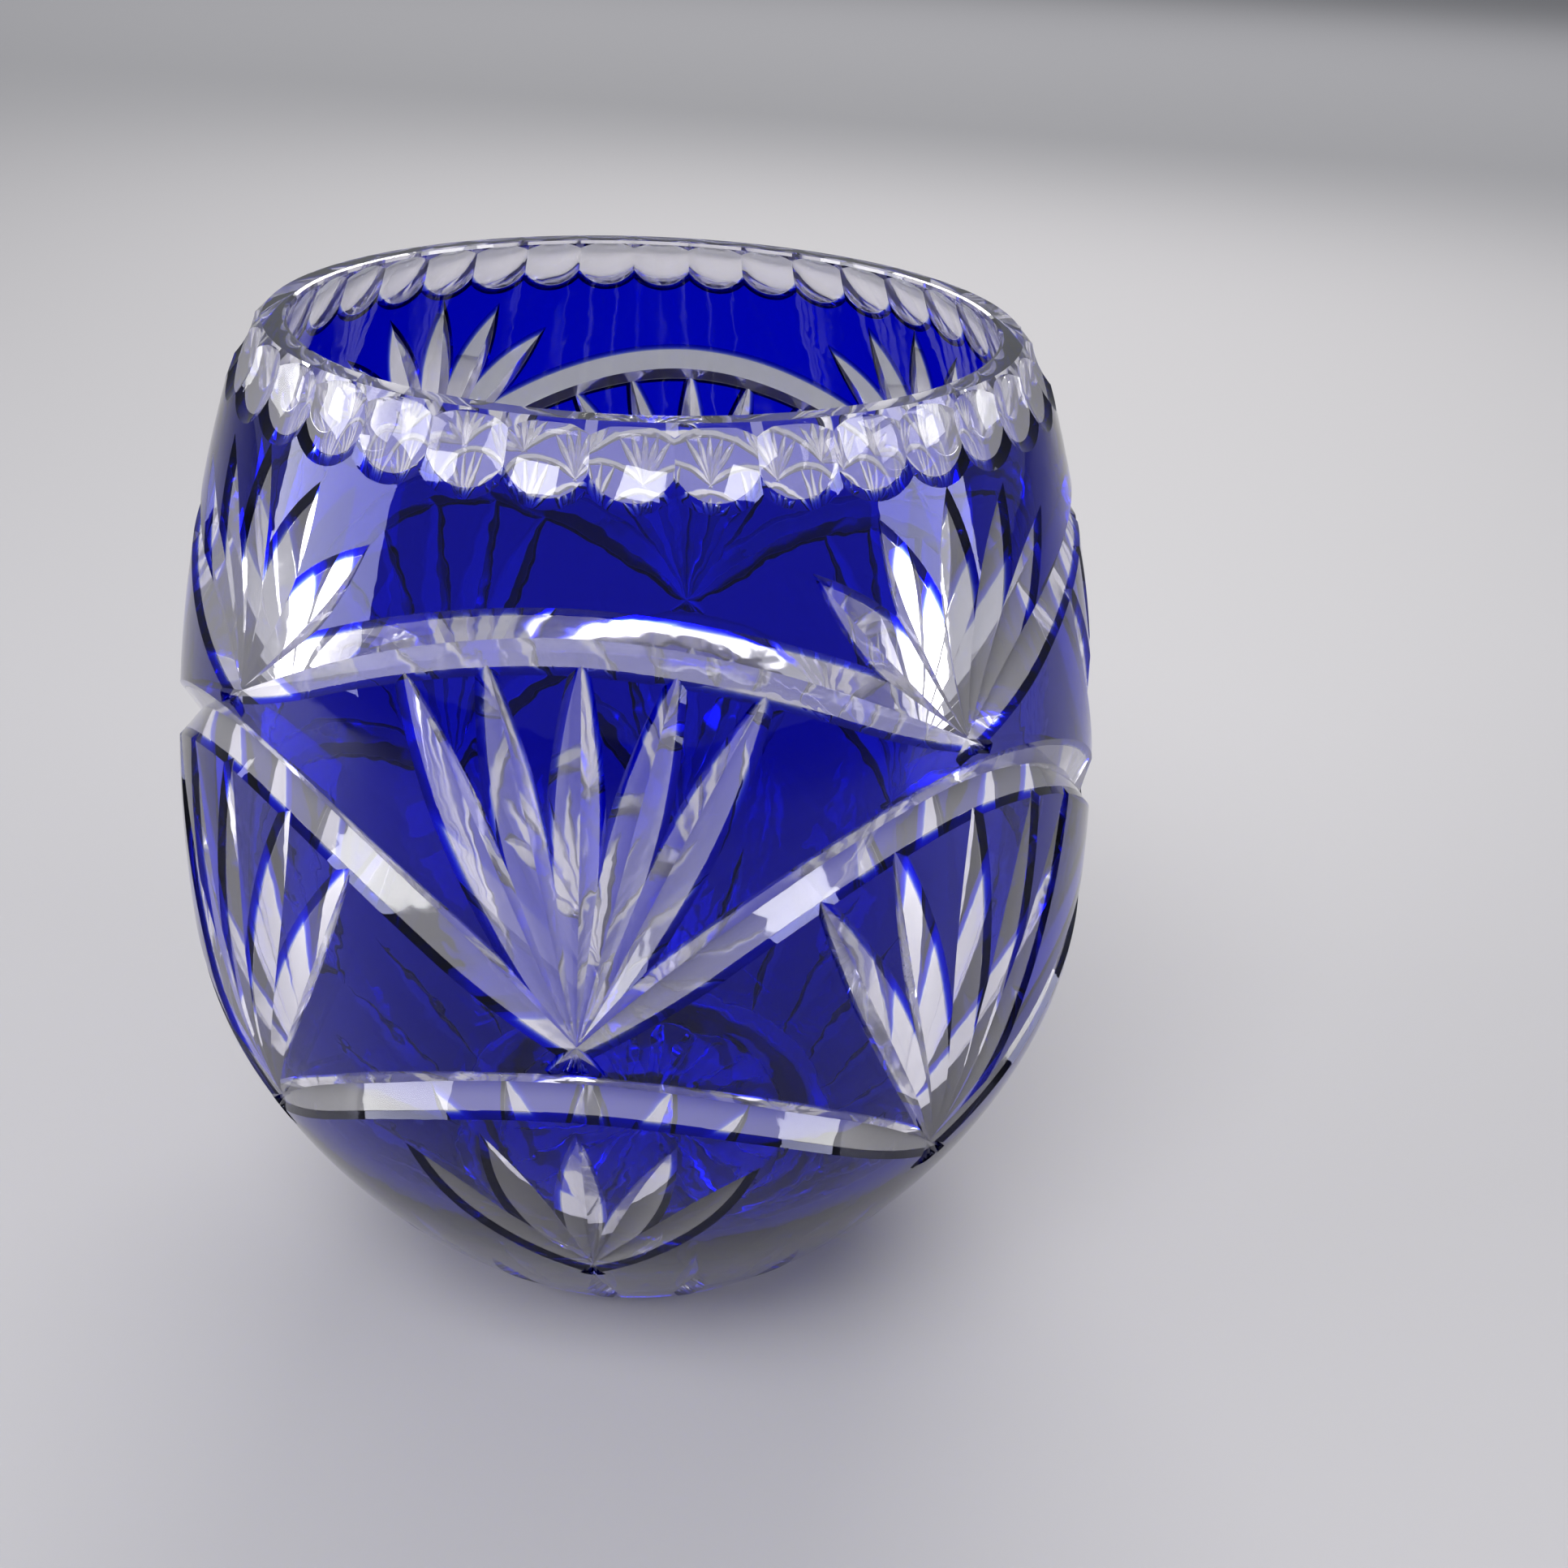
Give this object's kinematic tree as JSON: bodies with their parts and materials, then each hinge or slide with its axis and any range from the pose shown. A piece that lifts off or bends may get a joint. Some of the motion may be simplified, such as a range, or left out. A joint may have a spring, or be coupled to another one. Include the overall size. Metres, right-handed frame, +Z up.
{
  "type": "cut crystal vase",
  "caption": "Round-bellied crystal vase with a cobalt skin cut through to clear glass in scale-shaped arcs, fans of leaves and a fluted rim.",
  "frame": {"origin": "centre of the foot, on the plane it stands on", "axes": "+Z up along the vase's axis, -Y towards the front"},
  "size_m": [0.1334, 0.1334, 0.145],
  "materials": {
    "crystal": "polished clear crystal",
    "cobalt": "polished cobalt-blue glass skin"
  },
  "bodies": {
    "root": {"crystal_body": "crystal", "overlay_collar": "cobalt", "overlay_skirt": "cobalt", "overlay_upper_saddle_0": "cobalt", "overlay_upper_saddle_1": "cobalt", "overlay_upper_saddle_2": "cobalt", "overlay_upper_saddle_3": "cobalt", "overlay_lower_saddle_0": "cobalt", "overlay_lower_saddle_1": "cobalt", "overlay_lower_saddle_2": "cobalt", "overlay_lower_saddle_3": "cobalt", "overlay_upper_wedge_0_0": "cobalt", "overlay_upper_wedge_0_1": "cobalt", "overlay_upper_wedge_0_2": "cobalt", "overlay_upper_wedge_0_3": "cobalt", "overlay_upper_wedge_1_0": "cobalt", "overlay_upper_wedge_1_1": "cobalt", "overlay_upper_wedge_1_2": "cobalt", "overlay_upper_wedge_1_3": "cobalt", "overlay_upper_wedge_2_0": "cobalt", "overlay_upper_wedge_2_1": "cobalt", "overlay_upper_wedge_2_2": "cobalt", "overlay_upper_wedge_2_3": "cobalt", "overlay_upper_wedge_3_0": "cobalt", "overlay_upper_wedge_3_1": "cobalt", "overlay_upper_wedge_3_2": "cobalt", "overlay_upper_wedge_3_3": "cobalt", "overlay_lower_wedge_0_0": "cobalt", "overlay_lower_wedge_0_1": "cobalt", "overlay_lower_wedge_0_2": "cobalt", "overlay_lower_wedge_0_3": "cobalt", "overlay_lower_wedge_1_0": "cobalt", "overlay_lower_wedge_1_1": "cobalt", "overlay_lower_wedge_1_2": "cobalt", "overlay_lower_wedge_1_3": "cobalt", "overlay_lower_wedge_2_0": "cobalt", "overlay_lower_wedge_2_1": "cobalt", "overlay_lower_wedge_2_2": "cobalt", "overlay_lower_wedge_2_3": "cobalt", "overlay_lower_wedge_3_0": "cobalt", "overlay_lower_wedge_3_1": "cobalt", "overlay_lower_wedge_3_2": "cobalt", "overlay_lower_wedge_3_3": "cobalt"}
  },
  "joints": []
}
